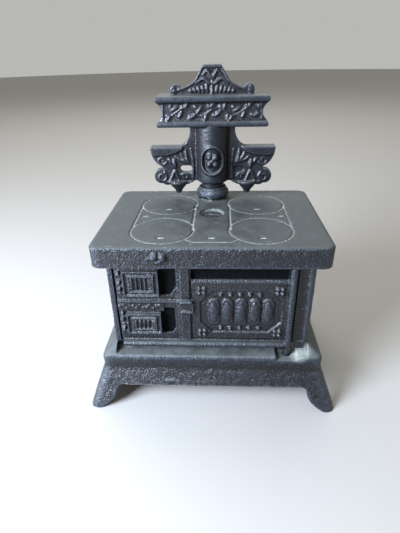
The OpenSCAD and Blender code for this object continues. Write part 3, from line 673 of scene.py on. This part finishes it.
# tea brackets: blades by the pipe, a leaf under each shelf, and a scroll at each lower corner
for side in (-1, 1):
    vein(
        pipe_pattern,
        [(side * 9.9, WEB_FACE, PIPE_FOOT + 2.0), (side * 9.6, WEB_FACE - 0.2, PIPE_FOOT + 9.0),
         (side * 10.6, WEB_FACE, PIPE_FOOT + 16.6)],
        0.55, 0.35,
    )
    for x1, z1 in ((13.2, 16.0), (15.9, 14.6), (18.3, 12.6)):
        vein(
            pipe_pattern,
            [(side * 11.6, WEB_FACE, PIPE_FOOT + 9.6),
             (side * (11.9 + (x1 - 11.6) * 0.6), WEB_FACE - 0.4, PIPE_FOOT + 9.6 + (z1 - 9.6) * 0.45),
             (side * x1, WEB_FACE - 0.1, PIPE_FOOT + z1)],
            0.7, 0.35,
        )
    lump(pipe_pattern, (side * 18.9, WEB_FACE - 0.2, PIPE_FOOT + 9.0), (0.9, 0.9, 2.4), side * 8)
    lump(pipe_pattern, (side * 21.0, WEB_FACE, PIPE_FOOT + 10.4), (0.7, 0.7, 1.9), side * 38)
    curl(
        pipe_pattern, (side * 25.2, PIPE_FOOT + 10.6), WEB_FACE,
        2.3, 200 if side > 0 else -20, side * 1.1, 0.6, 0.4,
    )
    curl(
        pipe_pattern, (side * 25.6, PIPE_FOOT + 2.4), WEB_FACE,
        2.6, 120 if side > 0 else 60, side * 1.25, 0.7, 0.45,
    )
    curl(
        pipe_pattern, (side * 13.9, PIPE_FOOT + 2.6), WEB_FACE,
        1.8, 30 if side > 0 else 150, side * 1.1, 0.6, 0.4,
    )
    vein(
        pipe_pattern,
        [(side * 16.9, WEB_FACE, PIPE_FOOT + 0.8), (side * 18.7, WEB_FACE - 0.3, PIPE_FOOT + 5.4)],
        0.6, 0.5,
    )
    vein(
        pipe_pattern,
        [(side * 21.4, WEB_FACE, PIPE_FOOT + 0.6), (side * 19.2, WEB_FACE - 0.3, PIPE_FOOT + 5.2)],
        0.6, 0.5,
    )
    vein(
        pipe_pattern,
        [(side * 10.2, WEB_FACE, PIPE_FOOT - 0.1), (side * 17.4, WEB_FACE - 0.3, PIPE_FOOT - 0.9),
         (side * 23.8, WEB_FACE, PIPE_FOOT - 0.2)],
        0.6,
    )
stovepipe_casting = cast(
    "stovepipe_casting", pipe_pattern, PIPE_VOXEL, 0.85, 0.10, 0.05,
    level=0.8, rounds=4, most=195000, full=0.26,
)
stovepipe_casting.data.materials.clear()
stovepipe_casting.data.materials.append(
    japanned_iron("black japan deep on the pipe casting", SHELF_DUST, 0.6, gloss=0.40, bite=0.35)
)
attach(stovepipe_casting, "body")
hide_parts("stovepipe")


# ---- Screws and nut ----
# Low-carbon steel, turned and thread-rolled, gone dull with handling.
# The long screw passes from the cooktop to a square nut under the base, and clamps the box between them.
# A short screw from below holds the stovepipe in its collar.

STEEL = "#a3a3a0"
STEEL_DARK = "#4d4d4c"
TURNS = 64
TIE_Y = 2.0
TIE_RADIUS = 2.48
TIE_THREAD = 16.0
TIE_PITCH = 0.8
TIE_HEAD_T = 2.2
NUT_HALF = 4.7
NUT_BORE = 2.55
NUT_CHAMFER = 0.9
PIPE_SCREW_RADIUS = 1.98
PIPE_SCREW_PITCH = 0.7
PIPE_SCREW_HEAD = 3.98
PIPE_SCREW_HEAD_T = 2.4


def dull_steel(name):
    """Turned steel gone dull grey: a fine grain left by turning, and cloudy tarnish."""
    mat = bpy.data.materials.new(name)
    mat.use_nodes = True
    mat.node_tree.nodes.clear()
    place = add_node(mat, "ShaderNodeTexCoord", {}, {}).outputs["Object"]
    tarnish = add_node(
        mat, "ShaderNodeTexNoise",
        {"Scale": 1 / (1.8 * MM), "Detail": 5.0, "Roughness": 0.65},
        {"Vector": place},
    ).outputs["Fac"]
    rings = add_node(
        mat, "ShaderNodeTexNoise", {"Scale": 1 / (0.2 * MM), "Detail": 2.0}, {"Vector": place}
    ).outputs["Fac"]
    tone = add_node(
        mat, "ShaderNodeMix", {"data_type": "RGBA", 6: linear(STEEL_DARK), 7: linear(STEEL)}, {0: tarnish}
    ).outputs[2]
    rough = add_node(
        mat, "ShaderNodeMapRange",
        {"From Min": 0.3, "From Max": 0.7, "To Min": 0.3, "To Max": 0.55},
        {0: tarnish},
    ).outputs[0]
    bump = add_node(
        mat, "ShaderNodeBump", {"Strength": 0.3, "Distance": 0.03 * MM}, {"Height": rings}
    ).outputs[0]
    shader = add_node(
        mat, "ShaderNodeBsdfPrincipled", {"Metallic": 1.0},
        {"Base Color": tone, "Roughness": rough, "Normal": bump},
    ).outputs[0]
    add_node(mat, "ShaderNodeOutputMaterial", {}, {"Surface": shader})
    return mat


def turned(outline, flat=0, pitch=0):
    """An outline of (radius, height, thread depth) points in mm, turned about the upright axis.
    flat trims it to a square bar that wide; pitch is the thread's, where its depth isn't 0."""
    bm = bmesh.new()
    rings = []
    for radius, height, cut in outline:
        ring = []
        for step in range(TURNS):
            angle = 2 * pi * step / TURNS
            reach = radius
            if flat:
                reach = min(radius, flat / 2 / max(abs(cos(angle)), abs(sin(angle))))
            if cut:
                wave = abs(((height / pitch - step / TURNS) % 1) * 2 - 1)
                reach -= cut * wave
            ring.append(bm.verts.new((reach * cos(angle) * MM, reach * sin(angle) * MM, height * MM)))
        rings.append(ring)
    for low, high in zip(rings, rings[1:]):
        for step in range(TURNS):
            after = (step + 1) % TURNS
            bm.faces.new((low[step], low[after], high[after], high[step]))
    return bm, rings


def threaded(low, high, radius, pitch, depth):
    """Outline of a rolled thread with a chamfered point at its lower end."""
    point = 0.6
    count = int((high - low) / (pitch / 10))
    points = []
    for step in range(count + 1):
        height = low + (high - low) * step / count
        start = min(1.0, (height - low) / point)
        stop = min(1.0, (high - height) / pitch)
        points.append((radius - point * (1 - start), height, depth * start * stop))
    return points


def slotted(name, bm, rings, place, slot):
    """Closes a turned screw, cuts its driver slot and stands it in place.
    place is its axis and slot its width, lower and upper ends and turn in degrees."""
    bm.faces.new(rings[-1])
    bm.faces.new(rings[0][::-1])
    bmesh.ops.recalc_face_normals(bm, faces=bm.faces)
    obj = mesh_object(name, bm)
    width, low, high, turn = slot
    cutter_bm = bmesh.new()
    bmesh.ops.create_cube(cutter_bm, size=1.0)
    bmesh.ops.scale(cutter_bm, vec=(30 * MM, width * MM, (high - low) * MM), verts=cutter_bm.verts)
    bmesh.ops.translate(cutter_bm, vec=(0, 0, (low + high) / 2 * MM), verts=cutter_bm.verts)
    bmesh.ops.rotate(cutter_bm, matrix=Matrix.Rotation(radians(turn), 3, "Z"), verts=cutter_bm.verts)
    cutter = mesh_object(name + "_cutter", cutter_bm)
    saw = obj.modifiers.new("saw", "BOOLEAN")
    saw.operation = "DIFFERENCE"
    saw.object = cutter
    settle(obj)
    bpy.data.objects.remove(cutter)
    obj.data.transform(Matrix.Translation((place[0] * MM, place[1] * MM, 0)))
    return obj


# a countersunk head with a broken edge, and a thread only where the nut runs
low, high = (side[2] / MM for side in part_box("tie_screw"))
outline = threaded(low, low + TIE_THREAD, TIE_RADIUS, TIE_PITCH, 0.36) + [
    (TIE_RADIUS, low + TIE_THREAD + 0.2, 0),
    (TIE_RADIUS, high - TIE_HEAD_T, 0),
    (4.3, high - 0.35, 0),
    (4.45, high - 0.2, 0),
    (4.3, high - 0.05, 0),
]
bm, rings = turned(outline, pitch=TIE_PITCH)
tie_screw = slotted("tie_screw_turned", bm, rings, (0, TIE_Y), (1.3, high - 1.1, high + 1, -12))

# a square nut, its corners chamfered on the side that shows
low, high = (side[2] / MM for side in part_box("tie_nut"))
outline = [
    (NUT_BORE, low, 0),
    (NUT_HALF, low, 0),
    (NUT_HALF * 1.4, low + NUT_CHAMFER, 0),
    (NUT_HALF * 1.4, high, 0),
    (NUT_BORE, high, 0),
]
bm, rings = turned(outline, flat=2 * NUT_HALF)
for step in range(TURNS):
    after = (step + 1) % TURNS
    bm.faces.new((rings[-1][step], rings[-1][after], rings[0][after], rings[0][step]))
bmesh.ops.recalc_face_normals(bm, faces=bm.faces)
bmesh.ops.translate(bm, vec=(0, TIE_Y * MM, 0), verts=bm.verts)
tie_nut = mesh_object("tie_nut_pressed", bm)

# a pan head below, slotted to match, its thread run up into the pipe
low, high = (side[2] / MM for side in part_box("pipe_screw"))
outline = [
    (PIPE_SCREW_HEAD - 0.48, low, 0),
    (PIPE_SCREW_HEAD - 0.13, low + 0.15, 0),
    (PIPE_SCREW_HEAD, low + 0.5, 0),
    (PIPE_SCREW_HEAD, low + PIPE_SCREW_HEAD_T - 0.1, 0),
    (PIPE_SCREW_RADIUS, low + PIPE_SCREW_HEAD_T, 0),
]
shank = threaded(low + PIPE_SCREW_HEAD_T, high, PIPE_SCREW_RADIUS, PIPE_SCREW_PITCH, 0.3)
for radius, height, cut in reversed(shank):
    outline.append((radius, low + high + PIPE_SCREW_HEAD_T - height, cut))
bm, rings = turned(outline, pitch=PIPE_SCREW_PITCH)
along = [side[1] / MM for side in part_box("pipe_screw")]
pipe_screw = slotted("pipe_screw_turned", bm, rings, (0, sum(along) / 2), (1.2, low - 1, low + 1, 0))

steel = dull_steel("dull turned steel")
for piece, node in ((tie_screw, "tie_screw"), (tie_nut, "tie_nut"), (pipe_screw, "pipe_screw")):
    piece.data.materials.clear()
    piece.data.materials.append(steel)
    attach(piece, "body")
    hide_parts(node)


# ---- Floor, light and camera ----
# A plain pale floor under soft window light from the left and above, and a dim fill.

floor_bm = bmesh.new()
bmesh.ops.create_circle(floor_bm, cap_ends=True, segments=96, radius=3.0)
floor = mesh_object("floor", floor_bm)
floor_mat = bpy.data.materials.new("pale matt floor")
floor_mat.use_nodes = True
floor_shader = floor_mat.node_tree.nodes["Principled BSDF"]
floor_shader.inputs["Base Color"].default_value = linear("#a09d97")
floor_shader.inputs["Roughness"].default_value = 0.6
floor.data.materials.append(floor_mat)

world = bpy.data.worlds.new("pale room")
world.use_nodes = True
world.node_tree.nodes["Background"].inputs[0].default_value = linear("#e4e4e0")
world.node_tree.nodes["Background"].inputs[1].default_value = 0.62
bpy.context.scene.world = world
bpy.context.scene.view_settings.view_transform = "Standard"


def soft_light(name, place, aim, size, power, shade):
    """A large square softbox, its place and aim in metres."""
    data = bpy.data.lights.new(name, "AREA")
    data.shape = "SQUARE"
    data.size = size
    data.energy = power
    data.color = linear(shade)[:3]
    lamp = bpy.data.objects.new(name, data)
    lamp.location = place
    lamp.rotation_euler = (Vector(aim) - Vector(place)).to_track_quat("-Z", "Y").to_euler()
    bpy.context.scene.collection.objects.link(lamp)


soft_light("window", (-0.34, -0.27, 0.25), (0, 0, 0.08), 0.24, 11.5, "#dbe8ff")
soft_light("ceiling", (-0.1, 0.6, 0.9), (0, 0, 0.07), 0.9, 8.0, "#ffffff")

CAMERA_AT = Vector((0.0036, -0.17834, 0.1510))
CAMERA_YAW = radians(-3.14)
CAMERA_PITCH = radians(28.71)
CAMERA_ROLL = radians(1.27)
forward = Vector(
    (sin(CAMERA_YAW) * cos(CAMERA_PITCH), cos(CAMERA_YAW) * cos(CAMERA_PITCH), -sin(CAMERA_PITCH))
)
right = Vector((cos(CAMERA_YAW), -sin(CAMERA_YAW), 0))
down = forward.cross(right)
across = cos(CAMERA_ROLL) * right + sin(CAMERA_ROLL) * down
below = -sin(CAMERA_ROLL) * right + cos(CAMERA_ROLL) * down
camera_data = bpy.data.cameras.new("camera")
camera_data.sensor_width = 36
camera_data.lens = 27.09
camera = bpy.data.objects.new("camera", camera_data)
camera.matrix_world = Matrix.Translation(CAMERA_AT) @ Matrix((across, -below, -forward)).transposed().to_4x4()
bpy.context.scene.collection.objects.link(camera)
bpy.context.scene.camera = camera
